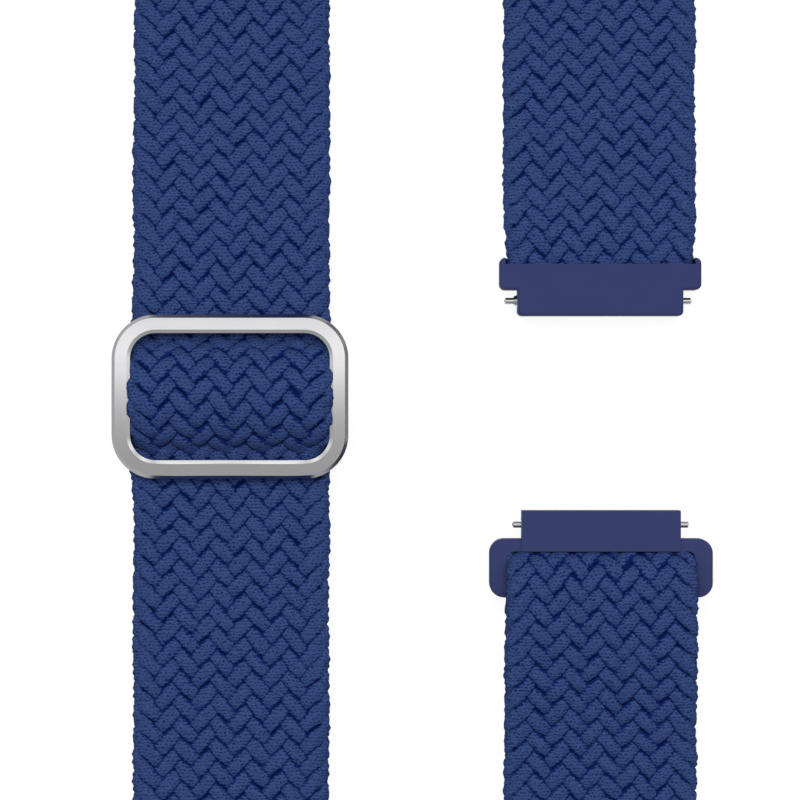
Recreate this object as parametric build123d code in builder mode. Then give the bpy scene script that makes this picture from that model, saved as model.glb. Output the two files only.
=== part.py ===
"""Braided elastic watch strap with a metal length slider and two moulded spring bar ends.

The strap lies on a flat surface as one long loop, outer side up. Millimetres, +Z up, +Y along the two
straight columns. The origin is the centre of the loop on the surface it lies on. The left column (-X)
carries the slider, the right column (+X) the two ends that go to the watch.
"""
import os
from math import acos, atan, cos, degrees, radians, sin

from build123d import *

os.makedirs("parts", exist_ok=True)

# Band
band_width = 22.6
band_thickness = 1.9
band_corner = 0.7
layer_gap = 0.1
column_spacing = 44.1
lower_reach = 49.0
bank_angle = 68
turn_sections = 17

# Slider
slider_side_gap = 0.55
slider_height = 19.5
slider_bar = 2.2
slider_thickness = 1.8
slider_corner = 5.2
slider_inner_corner = 3.0
slider_edge = 0.4
slider_lip_width = 0.4
slider_lip_depth = 0.16
slider_arch_radius = 80.0
slider_place = 0.4
slider_lift = 0.15
crossbar_diameter = 1.4
crossbar_seat_depth = 1.4
crossbar_play = 0.02
boss_height = 2.6
boss_edge = 0.3
band_crest_radius = 7.2
band_dip_radius = 1.6
band_tail = 0.8

# Sewn end of the band round the slider's centre bar
sewn_thickness = 0.85
sewn_gap = 0.05
sewn_inset = 0.5
sewn_fold = 4.6

# Loop end
ring_squeeze = 0.3
ring_side_gap = 0.2
ring_height = 7.0
ring_top_bar = 1.5
ring_arm = 2.1
ring_thickness = 3.0
ring_bar_diameter = 3.2
ring_corner = 1.75
ring_mouth_corner = 0.9
ring_edge = 0.4
ring_place = 16.5
loop_clearance = 0.12
loop_lug_width = 18.9
loop_lug_height = 3.35
loop_lug_thickness = 3.4
loop_axis_inset = 1.7

# Fixed end
collar_side_wall = 0.7
collar_face_wall = 0.9
collar_height = 3.85
collar_corner = 0.7
collar_place = 13.15
rim_step = 0.75
pocket_depth = 3.0
pocket_gap = 0.05
fixed_lug_width = 19.8
fixed_lug_height = 3.1
fixed_lug_corner = 0.55
fixed_axis_inset = 1.8
moulding_edge = 0.35
band_rise = 12.0
seal_length = 1.6
seal_thickness = 1.4
seal_inset = 0.5

# Spring bars
bar_radius = 0.75
bar_wall = 0.12
bar_cone_length = 0.45
bar_mouth_wall = 0.1
bar_play = 0.05
fixed_bar_overhang = 0.44
loop_bar_overhang = 0.0
tip_radius = 0.4
tip_length = 1.1
tip_round = 0.15
plunger_length = 5.0
plunger_travel = 1.1
pivot_plug_length = 2.0
spring_radius = 0.57
spring_inner_radius = 0.37
knob_place = 3.4
knob_stem_radius = 0.3
knob_head_radius = 0.65
knob_head_height = 0.5
knob_recess = 0.15
knob_play = 0.15
knob_window = 2.0

overrun = 1.0

# Widths that follow from the band's
slider_window = band_width + 2 * slider_side_gap
slider_width = slider_window + 2 * slider_bar
ring_loop_width = band_width - 2 * ring_squeeze
ring_gap = ring_loop_width + 2 * ring_side_gap
ring_width = ring_gap + 2 * ring_arm
collar_width = band_width + 2 * (pocket_gap + collar_side_wall)
collar_thickness = band_thickness + 2 * (pocket_gap + collar_face_wall)
sewn_width = band_width - 2 * sewn_inset
seal_width = band_width - 2 * seal_inset

# Places worked out from the sizes
turn_radius = column_spacing / 2
loop_shift = (slider_width - ring_width) / 4
left_x = loop_shift - turn_radius
right_x = loop_shift + turn_radius
layer_pitch = band_thickness + layer_gap
floor_level = band_thickness / 2
outer_level = floor_level + layer_pitch
lower_turn_y = -lower_reach
upper_turn_y = lower_reach + layer_pitch * sin(radians(bank_angle))
loop_radius = ring_bar_diameter / 2 + loop_clearance + band_thickness / 2
ring_axis_y = -(ring_place + ring_height - ring_bar_diameter / 2)
ring_axis_z = floor_level + loop_radius
ring_mouth_y = -(ring_place + ring_top_bar)


def band_section(start, width):
    """The band's rounded cross section, facing +Y, at the start of a route."""
    with BuildSketch(Plane(origin=start, x_dir=(1, 0, 0), z_dir=(0, 1, 0))) as section:
        RectangleRounded(width, band_thickness, band_corner)
    return section.sketch


def column_plane(x):
    """Upright plane along a column: its own x is the part's Y, its own y the part's Z."""
    return Plane(origin=(x, 0, 0), x_dir=(0, 1, 0), z_dir=(1, 0, 0))


def s_bend(start, end):
    """Two equal tangent arcs from start to end, level at both ends, in a column's plane."""
    reach = end[0] - start[0]
    rise = end[1] - start[1]
    turn = 2 * degrees(atan(rise / reach))
    radius = (reach**2 + rise**2) / (4 * abs(rise))
    if rise > 0:
        CenterArc((start[0], start[1] + radius), radius, -90, turn)
        CenterArc((end[0], end[1] - radius), radius, 90 + turn, -turn)
    else:
        CenterArc((start[0], start[1] - radius), radius, 90, turn)
        CenterArc((end[0], end[1] + radius), radius, turn - 90, -turn)


def turn_plane(angle, centre_y, side, layer):
    """Plane across a band turn. The band leans on its outer edge, most at the middle of the turn."""
    bank = radians(bank_angle) * sin(radians(angle)) ** 2
    outwards = Vector(cos(radians(angle)), side * sin(radians(angle)), 0)
    along = Vector(-sin(radians(angle)), side * cos(radians(angle)), 0)
    height = (
        (band_width / 2 - band_corner) * sin(bank)
        + (band_thickness / 2 - band_corner) * cos(bank)
        + band_corner
    )
    normal = outwards * sin(bank) + Vector(0, 0, 1) * cos(bank)
    across = outwards * cos(bank) - Vector(0, 0, 1) * sin(bank)
    centre = Vector(loop_shift, centre_y, height) + outwards * turn_radius + normal * (layer * layer_pitch)
    return Plane(origin=centre, x_dir=across, z_dir=along)


def band_turn(centre_y, side, layer):
    """One layer of the band round a half turn, lofted smoothly through sections spaced evenly round it."""
    with BuildPart() as turn:
        for step in range(turn_sections):
            with BuildSketch(turn_plane(180 * step / (turn_sections - 1), centre_y, side, layer)):
                RectangleRounded(band_width, band_thickness, band_corner)
        loft()
    return turn


def finish(piece, name):
    """Name a finished piece and write it to its own file."""
    piece.part.label = name
    export_step(piece.part, f"parts/{name}.step")


# Band: the run from the fixed end to the upper turn, rising into the collar
collar_top_y = collar_place + collar_height
pocket_floor_y = collar_top_y - pocket_depth
run_end_y = pocket_floor_y + seal_length
fixed_level = collar_thickness / 2
with BuildPart() as band_fixed_run:
    with BuildLine(column_plane(right_x)):
        Line((run_end_y, fixed_level), (collar_top_y, fixed_level))
        s_bend((collar_top_y, fixed_level), (collar_top_y + band_rise, floor_level))
        Line((collar_top_y + band_rise, floor_level), (upper_turn_y, floor_level))
    sweep(sections=band_section((right_x, run_end_y, fixed_level), band_width))

# Band: its pressed and sealed end at the bottom of the collar's pocket
with BuildPart() as band_sealed_end:
    with BuildSketch(Plane(origin=(right_x, pocket_floor_y, fixed_level), x_dir=(1, 0, 0), z_dir=(0, 1, 0))):
        Rectangle(seal_width, seal_thickness)
    extrude(amount=seal_length)

# Band: the two half turns, one layer above and two layers below
band_upper_turn = band_turn(upper_turn_y, 1, 0)
band_return_turn = band_turn(lower_turn_y, -1, 0)
band_lower_turn = band_turn(lower_turn_y, -1, 1)

# Band: the part that dips under the slider's outer bars and crests over its centre bar
slider_half = slider_height / 2
tail_y = slider_half + band_tail
crossbar_z = outer_level - band_thickness / 2 + crossbar_diameter / 2 + sewn_thickness - sewn_gap
wrap_radius = crossbar_diameter / 2 + sewn_gap + sewn_thickness
crest_z = crossbar_z + wrap_radius + sewn_gap + band_thickness / 2
crest_rise = crest_z - outer_level
crest_slope = degrees(acos(1 - crest_rise / (band_crest_radius + band_dip_radius)))
crest_reach = (band_crest_radius + band_dip_radius) * sin(radians(crest_slope))
dip_centre_z = outer_level + band_dip_radius
crest_centre_z = crest_z - band_crest_radius
crest_start = 90 + crest_slope
with BuildPart() as band_in_slider:
    with BuildLine(column_plane(left_x)):
        Line((slider_place - tail_y, outer_level), (slider_place - crest_reach, outer_level))
        CenterArc((slider_place - crest_reach, dip_centre_z), band_dip_radius, -90, crest_slope)
        CenterArc((slider_place, crest_centre_z), band_crest_radius, crest_start, -2 * crest_slope)
        CenterArc((slider_place + crest_reach, dip_centre_z), band_dip_radius, -90 - crest_slope, crest_slope)
        Line((slider_place + crest_reach, outer_level), (slider_place + tail_y, outer_level))
    sweep(sections=band_section((left_x, slider_place - tail_y, outer_level), band_width))

# Band: the three straight runs that stretch when the slider travels
with BuildPart() as band_upper_stretch:
    with BuildLine(column_plane(left_x)):
        s_bend((slider_place + tail_y, outer_level), (upper_turn_y, floor_level))
    sweep(sections=band_section((left_x, slider_place + tail_y, outer_level), band_width))

stretch_length = slider_place - tail_y - lower_turn_y
with BuildPart() as band_lower_stretch:
    extrude(band_section((left_x, lower_turn_y, outer_level), band_width), amount=stretch_length)

with BuildPart() as band_return_stretch:
    extrude(band_section((left_x, lower_turn_y, floor_level), band_width), amount=stretch_length)

# Band: from the lower turn up over the ring's lower bar, through its slot and back underneath
with BuildPart() as band_ring_loop:
    with BuildLine(column_plane(right_x)):
        s_bend((lower_turn_y, outer_level), (ring_axis_y, ring_axis_z + loop_radius))
        CenterArc((ring_axis_y, ring_axis_z), loop_radius, 90, -180)
        Line((ring_axis_y, floor_level), (lower_turn_y, floor_level))
    sweep(sections=band_section((right_x, lower_turn_y, outer_level), ring_loop_width))

# Band: the pressed end folded round the slider's centre bar and sewn to itself
fold_bottom_z = crossbar_z - wrap_radius + sewn_thickness / 2
with BuildPart() as band_sewn_end:
    with BuildLine(column_plane(left_x)):
        Line((slider_place - tail_y, floor_level), (slider_place - sewn_fold, floor_level))
        s_bend((slider_place - sewn_fold, floor_level), (slider_place, fold_bottom_z))
    with BuildSketch(
        Plane(origin=(left_x, slider_place - tail_y, floor_level), x_dir=(1, 0, 0), z_dir=(0, 1, 0))
    ):
        Rectangle(sewn_width, sewn_thickness)
    sweep()
    with BuildSketch(Plane(origin=(left_x - sewn_width / 2, slider_place, crossbar_z), z_dir=(1, 0, 0))):
        Circle(wrap_radius)
        Circle(wrap_radius - sewn_thickness, mode=Mode.SUBTRACT)
    extrude(amount=sewn_width)

# Slider: arched frame with bevelled edges and two bosses that carry the centre bar
slider_window_height = slider_height - 2 * slider_bar
bar_middle_y = slider_half - slider_bar / 2
arch_drop = slider_arch_radius - (slider_arch_radius**2 - bar_middle_y**2) ** 0.5
frame_bottom = outer_level + band_thickness / 2 + slider_lift + arch_drop
frame_top = frame_bottom + slider_thickness
arch_centre_z = frame_top - slider_arch_radius
with BuildPart() as slider_frame:
    with BuildSketch(Plane(origin=(left_x - slider_width / 2, slider_place, arch_centre_z), z_dir=(1, 0, 0))):
        Circle(slider_arch_radius)
        Circle(slider_arch_radius - slider_thickness, mode=Mode.SUBTRACT)
    extrude(amount=slider_width)
    with BuildSketch(Plane.XY.offset(frame_bottom - slider_thickness)):
        with Locations((left_x, slider_place)):
            RectangleRounded(slider_width, slider_height, slider_corner)
            RectangleRounded(slider_window, slider_window_height, slider_inner_corner, mode=Mode.SUBTRACT)
    extrude(amount=3 * slider_thickness, mode=Mode.INTERSECT)
    top_face, bottom_face = (slider_frame.faces().sort_by(Axis.Z)[place] for place in (-1, 0))
    lip = top_face.inner_wires()[0].edges()
    chamfer(lip, slider_lip_width, slider_lip_depth, reference=top_face)
    top_face = slider_frame.faces().sort_by(Axis.Z)[-1]
    chamfer(top_face.outer_wire().edges() + bottom_face.edges(), slider_edge)
    boss_bottom = crossbar_z - crossbar_diameter / 2 - slider_edge
    for side in (-1, 1):
        boss_x = left_x + side * (slider_width - slider_bar) / 2
        with BuildSketch(Plane.XY.offset(boss_bottom)):
            with Locations((boss_x, slider_place)):
                RectangleRounded(slider_bar - boss_edge, boss_height, boss_edge)
        extrude(amount=frame_bottom + slider_thickness / 2 - boss_bottom)
        seat_x = left_x + side * (slider_window / 2 + boss_edge / 2)
        with BuildSketch(Plane(origin=(seat_x, slider_place, crossbar_z), z_dir=(side, 0, 0))):
            Circle(crossbar_diameter / 2 + crossbar_play)
        extrude(amount=crossbar_seat_depth, mode=Mode.SUBTRACT)

crossbar_length = slider_window + boss_edge + 2 * crossbar_seat_depth - 2 * crossbar_play
with BuildPart() as slider_crossbar:
    with BuildSketch(Plane(origin=(left_x - crossbar_length / 2, slider_place, crossbar_z), z_dir=(1, 0, 0))):
        Circle(crossbar_diameter / 2)
    extrude(amount=crossbar_length)


def spring_bar(axis_y, axis_z, lug_width, overhang):
    """Spring bar along X: tube with a coned mouth, fixed pivot tip, sprung plunger and coil spring."""
    tube_left = right_x - lug_width / 2 - overhang
    tube_right = right_x + lug_width / 2
    knob_x = tube_left + knob_place
    bore_radius = bar_radius - bar_wall
    axis_plane = Plane(origin=(0, axis_y, axis_z), x_dir=(1, 0, 0), z_dir=(0, 1, 0))

    with BuildPart() as tube:
        with BuildSketch(axis_plane):
            with BuildLine():
                Polyline(
                    (tube_left, tip_radius + bar_play),
                    (tube_left, tip_radius + bar_play + bar_mouth_wall),
                    (tube_left + bar_cone_length, bar_radius),
                    (tube_right, bar_radius),
                    (tube_right, bore_radius),
                    (tube_left + bar_cone_length, bore_radius),
                    close=True,
                )
            make_face()
        revolve(axis=Axis((0, axis_y, axis_z), (1, 0, 0)))
        slot_length = plunger_travel + 2 * (knob_stem_radius + knob_play)
        with BuildSketch(Plane.XY.offset(axis_z - bar_radius)):
            with Locations((knob_x + plunger_travel / 2, axis_y)):
                Rectangle(slot_length, 2 * (knob_stem_radius + knob_play))
        extrude(amount=bar_radius, mode=Mode.SUBTRACT)

    with BuildPart() as plunger:
        with BuildSketch(axis_plane):
            with BuildLine():
                Polyline(
                    (tube_left - tip_length, 0),
                    (tube_left - tip_length, tip_radius - tip_round),
                    (tube_left - tip_length + tip_round, tip_radius),
                    (tube_left, tip_radius),
                    (tube_left + bar_cone_length, bore_radius - bar_play),
                    (tube_left + plunger_length, bore_radius - bar_play),
                    (tube_left + plunger_length, 0),
                    close=True,
                )
            make_face()
        revolve(axis=Axis((0, axis_y, axis_z), (1, 0, 0)))

    with BuildPart() as pivot:
        with BuildSketch(axis_plane):
            with BuildLine():
                Polyline(
                    (tube_right + tip_length, 0),
                    (tube_right + tip_length, tip_radius - tip_round),
                    (tube_right + tip_length - tip_round, tip_radius),
                    (tube_right, tip_radius),
                    (tube_right, bore_radius),
                    (tube_right - pivot_plug_length, bore_radius),
                    (tube_right - pivot_plug_length, 0),
                    close=True,
                )
            make_face()
        revolve(axis=Axis((0, axis_y, axis_z), (1, 0, 0)))

    spring_start = tube_left + plunger_length
    spring_end = tube_right - pivot_plug_length
    with BuildPart() as spring:
        with BuildSketch(Plane(origin=(spring_start, axis_y, axis_z), z_dir=(1, 0, 0))):
            Circle(spring_radius)
            Circle(spring_inner_radius, mode=Mode.SUBTRACT)
        extrude(amount=spring_end - spring_start)

    return tube, plunger, pivot, spring


def release_knob(axis_y, axis_z, knob_x, lug_bottom):
    """Mushroom knob under a spring bar's plunger, inside the window of the moulding."""
    head_bottom = lug_bottom + knob_recess
    head_top = head_bottom + knob_head_height
    plunger_bottom = axis_z - (bar_radius - bar_wall - bar_play)
    with BuildPart() as knob:
        with BuildSketch(Plane.XY.offset(head_bottom)):
            with Locations((knob_x, axis_y)):
                Circle(knob_head_radius)
        extrude(amount=knob_head_height)
        with BuildSketch(Plane.XY.offset(head_top)):
            with Locations((knob_x, axis_y)):
                Circle(knob_stem_radius)
        extrude(amount=plunger_bottom - head_top)
    return knob


def bar_housing_cuts(axis_y, axis_z, lug_width, lug_bottom, knob_x):
    """Bore for the spring bar and the window for its release knob, cut from the open part."""
    bore_start = (right_x - lug_width / 2 - overrun, axis_y, axis_z)
    with BuildSketch(Plane(origin=bore_start, z_dir=(1, 0, 0))) as bore:
        Circle(bar_radius + bar_play)
    extrude(bore.sketch, amount=lug_width + 2 * overrun, mode=Mode.SUBTRACT)
    window_length = plunger_travel + 2 * (knob_head_radius + knob_play)
    with BuildSketch(Plane.XY.offset(lug_bottom - overrun)) as window:
        with Locations((knob_x + plunger_travel / 2, axis_y)):
            Rectangle(window_length, knob_window)
    extrude(window.sketch, amount=axis_z - lug_bottom + overrun, mode=Mode.SUBTRACT)


# Fixed end: moulding with a collar for the band and a lug section for the spring bar
fixed_axis_y = collar_place - fixed_lug_height + fixed_axis_inset
fixed_axis_z = collar_thickness / 2
fixed_knob_x = right_x - fixed_lug_width / 2 - fixed_bar_overhang + knob_place
with BuildPart() as fixed_end_housing:
    with BuildSketch(Plane.XY):
        with Locations((right_x, collar_place + collar_height / 2)):
            RectangleRounded(collar_width, collar_height, collar_corner)
    extrude(amount=collar_thickness)
    with BuildSketch(Plane.XY):
        with Locations((right_x, collar_place - fixed_lug_height / 2 + collar_height / 4)):
            RectangleRounded(fixed_lug_width, fixed_lug_height + collar_height / 2, fixed_lug_corner)
    extrude(amount=collar_thickness)
    fillet(fixed_end_housing.faces().filter_by(Axis.Z).edges(), moulding_edge)
    with BuildSketch(
        Plane(origin=(right_x, pocket_floor_y, fixed_axis_z), x_dir=(1, 0, 0), z_dir=(0, 1, 0))
    ):
        RectangleRounded(
            band_width + 2 * pocket_gap, band_thickness + 2 * pocket_gap, band_corner + pocket_gap
        )
    extrude(amount=pocket_depth + overrun, mode=Mode.SUBTRACT)
    with BuildSketch(Plane.XY.offset(fixed_axis_z)):
        with Locations((right_x, collar_top_y - rim_step / 2 + overrun / 2)):
            Rectangle(band_width + 2 * pocket_gap, rim_step + overrun)
    extrude(amount=collar_thickness, mode=Mode.SUBTRACT)
    bar_housing_cuts(fixed_axis_y, fixed_axis_z, fixed_lug_width, 0, fixed_knob_x)

# Loop end: moulding with a lug section for the spring bar and a ring for the band
loop_axis_y = -(ring_place - loop_lug_height + loop_axis_inset)
loop_lug_bottom = ring_axis_z - loop_lug_thickness / 2
loop_knob_x = right_x - loop_lug_width / 2 - loop_bar_overhang + knob_place
with BuildPart() as loop_end_ring:
    with BuildSketch(Plane.XY.offset(ring_axis_z - ring_thickness / 2)):
        with Locations((right_x, -(ring_place + ring_height / 2))):
            RectangleRounded(ring_width, ring_height, ring_corner)
    extrude(amount=ring_thickness)
    fillet(loop_end_ring.faces().filter_by(Axis.Z).edges(), ring_edge)
    with BuildSketch(Plane.XY.offset(loop_lug_bottom)):
        with Locations((right_x, -(ring_place - loop_lug_height / 2 + ring_top_bar / 2))):
            Rectangle(loop_lug_width, loop_lug_height + ring_top_bar)
    extrude(amount=loop_lug_thickness)
    fillet(loop_end_ring.faces().sort_by(Axis.Y)[-1].edges().filter_by(Axis.X), moulding_edge)
    with BuildSketch(Plane.XY.offset(loop_lug_bottom - overrun)):
        with Locations((right_x, ring_mouth_y - ring_height / 2)):
            RectangleRounded(ring_gap, ring_height, ring_mouth_corner)
    extrude(amount=loop_lug_thickness + 2 * overrun, mode=Mode.SUBTRACT)
    with BuildSketch(Plane(origin=(right_x - ring_gap / 2, ring_axis_y, ring_axis_z), z_dir=(1, 0, 0))):
        Circle(ring_bar_diameter / 2)
    extrude(amount=ring_gap)
    bar_housing_cuts(loop_axis_y, ring_axis_z, loop_lug_width, loop_lug_bottom, loop_knob_x)

fixed_knob = release_knob(fixed_axis_y, fixed_axis_z, fixed_knob_x, 0)
loop_knob = release_knob(loop_axis_y, ring_axis_z, loop_knob_x, loop_lug_bottom)
fixed_bar = spring_bar(fixed_axis_y, fixed_axis_z, fixed_lug_width, fixed_bar_overhang)
loop_bar = spring_bar(loop_axis_y, ring_axis_z, loop_lug_width, loop_bar_overhang)

pieces = {
    "band_fixed_run": band_fixed_run,
    "band_sealed_end": band_sealed_end,
    "band_upper_turn": band_upper_turn,
    "band_upper_stretch": band_upper_stretch,
    "band_in_slider": band_in_slider,
    "band_lower_stretch": band_lower_stretch,
    "band_lower_turn": band_lower_turn,
    "band_ring_loop": band_ring_loop,
    "band_return_turn": band_return_turn,
    "band_return_stretch": band_return_stretch,
    "band_sewn_end": band_sewn_end,
    "slider_frame": slider_frame,
    "slider_crossbar": slider_crossbar,
    "fixed_end_housing": fixed_end_housing,
    "loop_end_ring": loop_end_ring,
    "fixed_release_knob": fixed_knob,
    "loop_release_knob": loop_knob,
}
for end, bar in (("fixed", fixed_bar), ("loop", loop_bar)):
    for word, piece in zip(("tube", "plunger", "pivot", "spring"), bar):
        pieces[f"{end}_bar_{word}"] = piece

for name, piece in pieces.items():
    finish(piece, name)
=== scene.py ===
"""Looks of a braided elastic watch strap with a satin slider and moulded spring bar ends.

The band is one flat braid of 21 strands. Its middle line is followed from the fixed end round the upper
half turn, through the slider, round the lower half turn and the loop end's ring, and back underneath to
the slider's centre bar. Every strand is a surface carried along that line. Lengths are in metres.
"""
from math import acos, atan2, cos, pi, radians, sin

import bpy
import numpy as np
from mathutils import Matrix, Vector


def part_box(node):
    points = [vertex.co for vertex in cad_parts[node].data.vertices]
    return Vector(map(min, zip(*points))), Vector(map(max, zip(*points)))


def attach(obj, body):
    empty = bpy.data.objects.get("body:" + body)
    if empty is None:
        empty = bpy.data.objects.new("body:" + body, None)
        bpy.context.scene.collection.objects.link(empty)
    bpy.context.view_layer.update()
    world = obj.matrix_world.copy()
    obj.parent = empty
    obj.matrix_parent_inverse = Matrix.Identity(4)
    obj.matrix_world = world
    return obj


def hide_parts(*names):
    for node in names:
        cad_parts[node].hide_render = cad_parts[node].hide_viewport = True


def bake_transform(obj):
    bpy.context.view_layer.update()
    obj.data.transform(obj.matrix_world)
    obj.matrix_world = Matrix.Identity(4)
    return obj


bl_info = {
    "name": "Braided watch strap",
    "version": (1, 0, 0),
    "blender": (4, 5, 0),
    "location": "3D View > Sidebar > Strap",
    "description": "Dresses the packed strap with its braid, mouldings, metal and studio",
    "category": "Object",
}

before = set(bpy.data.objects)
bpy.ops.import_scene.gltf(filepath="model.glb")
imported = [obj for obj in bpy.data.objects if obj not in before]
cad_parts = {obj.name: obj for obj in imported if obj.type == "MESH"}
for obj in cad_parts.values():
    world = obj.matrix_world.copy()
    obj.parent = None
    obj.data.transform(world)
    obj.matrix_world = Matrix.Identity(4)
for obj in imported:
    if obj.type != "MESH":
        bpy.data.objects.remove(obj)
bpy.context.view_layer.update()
MM = 0.001


def low(node):
    """Lowest corner of a node's box, as an array."""
    return np.array(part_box(node)[0])


def high(node):
    """Highest corner of a node's box, as an array."""
    return np.array(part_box(node)[1])


def middle(node):
    """Centre of a node's box."""
    return (low(node) + high(node)) / 2


LEFT_X = middle("band_in_slider")[0]
RIGHT_X = middle("band_ring_loop")[0]
LOOP_X = (LEFT_X + RIGHT_X) / 2
TURN_RADIUS = (RIGHT_X - LEFT_X) / 2
BAND_WIDTH = (high("band_in_slider") - low("band_in_slider"))[0]
BAND_THICKNESS = (high("band_return_stretch") - low("band_return_stretch"))[2]
FLOOR_LEVEL = middle("band_return_stretch")[2]
OUTER_LEVEL = middle("band_lower_stretch")[2]
LAYER_PITCH = OUTER_LEVEL - FLOOR_LEVEL
UPPER_TURN_Y = low("band_upper_turn")[1]
LOWER_TURN_Y = low("band_lower_stretch")[1]
SLIDER_LOW_Y = low("band_in_slider")[1]
SLIDER_HIGH_Y = high("band_in_slider")[1]
SLIDER_Y = middle("band_in_slider")[1]
CREST_Z = high("band_in_slider")[2] - BAND_THICKNESS / 2
CROSSBAR_Z = middle("slider_crossbar")[2]
SEWN_TOP_Z = high("band_sewn_end")[2]
SEWN_THICKNESS = 2 * (FLOOR_LEVEL - low("band_sewn_end")[2])
WRAP_RADIUS = SEWN_TOP_Z - CROSSBAR_Z - SEWN_THICKNESS / 2
LOOP_OUTER = high("band_ring_loop")[2] / 2
LOOP_AXIS_Y = high("band_ring_loop")[1] - LOOP_OUTER
LOOP_AXIS_Z = middle("band_ring_loop")[2]
LOOP_RADIUS = LOOP_OUTER - BAND_THICKNESS / 2
FIXED_END_Y = low("band_fixed_run")[1]
FIXED_LEVEL = middle("fixed_end_housing")[2]
COLLAR_TOP_Y = high("fixed_end_housing")[1]

BANK_ANGLE = radians(68)
BAND_CORNER = 0.7 * MM
BAND_RISE = 12 * MM
CREST_RADIUS = 7.2 * MM
DIP_RADIUS = 1.6 * MM
SEWN_FOLD = 4.6 * MM
SEWN_FOLD_POINTS = 60
SEWN_FOLD_LIFT_SHARE = 0.3
WRAP_END = radians(155)
LOOP_SLACK = 0.55 * MM
SAMPLE = 0.1 * MM
SAME_PLACE = 1e-6 * MM


# The band's middle line


def line(start, end):
    """Points (y, z) spaced evenly from start to end."""
    start = np.array(start, float)
    end = np.array(end, float)
    count = max(2, int(np.linalg.norm(end - start) / SAMPLE))
    return start + (end - start) * np.linspace(0, 1, count)[:, None]


def arc(centre, radius, first, last):
    """Points (y, z) on a circle from angle first to angle last, in radians from +Y."""
    count = max(3, int(abs(last - first) * radius / SAMPLE))
    angle = np.linspace(first, last, count)
    return np.array(centre) + radius * np.stack([np.cos(angle), np.sin(angle)], axis=1)


def level_change(start, end):
    """Two equal tangent arcs from start to end, level at both ends: the rise is shared by the two."""
    reach = end[0] - start[0]
    rise = end[1] - start[1]
    radius = (reach**2 + rise**2) / (4 * abs(rise))
    along = np.linspace(0, 1, max(4, int(abs(reach) / SAMPLE)))
    half = np.minimum(along, 1 - along) * abs(reach)
    sag = radius - np.sqrt(radius**2 - half**2)
    lift = np.where(along < 0.5, sag, abs(rise) - sag) * np.sign(rise)
    return np.stack([start[0] + reach * along, start[1] + lift], axis=1)


def column(points, x, across):
    """A route in a column's upright plane: its middle points, and the direction across, +X or -X."""
    centres = np.column_stack([np.full(len(points), x), points])
    return centres, np.tile([across, 0.0, 0.0], (len(points), 1))


def half_turn(centre_y, side, layer, first, last):
    """A banked half turn: the middle line is a half circle seen from above, and the band leans on its
    outer edge by the bank angle times the squared sine of the way round."""
    angle = np.linspace(first, last, int(pi * TURN_RADIUS / SAMPLE))
    bank = BANK_ANGLE * np.sin(angle) ** 2
    outwards = np.stack([np.cos(angle), side * np.sin(angle), 0 * angle], axis=1)
    up = np.array([0.0, 0.0, 1.0])
    height = (
        (BAND_WIDTH / 2 - BAND_CORNER) * np.sin(bank)
        + (BAND_THICKNESS / 2 - BAND_CORNER) * np.cos(bank)
        + BAND_CORNER
    )
    normal = outwards * np.sin(bank)[:, None] + up * np.cos(bank)[:, None]
    across = outwards * np.cos(bank)[:, None] - up * np.sin(bank)[:, None]
    centre = np.array([LOOP_X, centre_y, 0.0]) + outwards * TURN_RADIUS + up * height[:, None]
    return centre + normal * (layer * LAYER_PITCH), across


def slider_crest():
    """The way through the slider from its +Y side: under one bar, over the centre bar and under the
    other, as three tangent arcs between two level lines."""
    rise = CREST_Z - OUTER_LEVEL
    slope = acos(1 - rise / (CREST_RADIUS + DIP_RADIUS))
    reach = (CREST_RADIUS + DIP_RADIUS) * sin(slope)
    dip_z = OUTER_LEVEL + DIP_RADIUS
    return np.concatenate(
        [
            line((SLIDER_HIGH_Y, OUTER_LEVEL), (SLIDER_Y + reach, OUTER_LEVEL)),
            arc((SLIDER_Y + reach, dip_z), DIP_RADIUS, -pi / 2, -pi / 2 - slope),
            arc((SLIDER_Y, CREST_Z - CREST_RADIUS), CREST_RADIUS, pi / 2 - slope, pi / 2 + slope),
            arc((SLIDER_Y - reach, dip_z), DIP_RADIUS, slope - pi / 2, -pi / 2),
            line((SLIDER_Y - reach, OUTER_LEVEL), (SLIDER_LOW_Y, OUTER_LEVEL)),
        ]
    )


def sewn_route():
    """The pressed end: up to the centre bar, about two thirds round it, and back down onto itself along
    a cubic Bezier curve."""
    start_y = SLIDER_Y - SEWN_FOLD
    heading = np.array([-sin(WRAP_END), cos(WRAP_END)])
    leave = np.array([SLIDER_Y + WRAP_RADIUS * cos(WRAP_END), CROSSBAR_Z + WRAP_RADIUS * sin(WRAP_END)])
    rest = np.array([start_y - SEWN_THICKNESS, FLOOR_LEVEL + SEWN_THICKNESS])
    first = leave + heading * SEWN_FOLD / 2
    second = rest + np.array([SEWN_FOLD / 2, SEWN_FOLD_LIFT_SHARE * SEWN_THICKNESS])
    share = np.linspace(0, 1, SEWN_FOLD_POINTS)[:, None]
    fold = (
        (1 - share) ** 3 * leave
        + 3 * (1 - share) ** 2 * share * first
        + 3 * (1 - share) * share**2 * second
        + share**3 * rest
    )
    return np.concatenate(
        [
            line((SLIDER_LOW_Y, FLOOR_LEVEL), (start_y, FLOOR_LEVEL)),
            level_change((start_y, FLOOR_LEVEL), (SLIDER_Y, CROSSBAR_Z - WRAP_RADIUS)),
            arc((SLIDER_Y, CROSSBAR_Z), WRAP_RADIUS, -pi / 2, WRAP_END),
            fold,
        ]
    )


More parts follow.
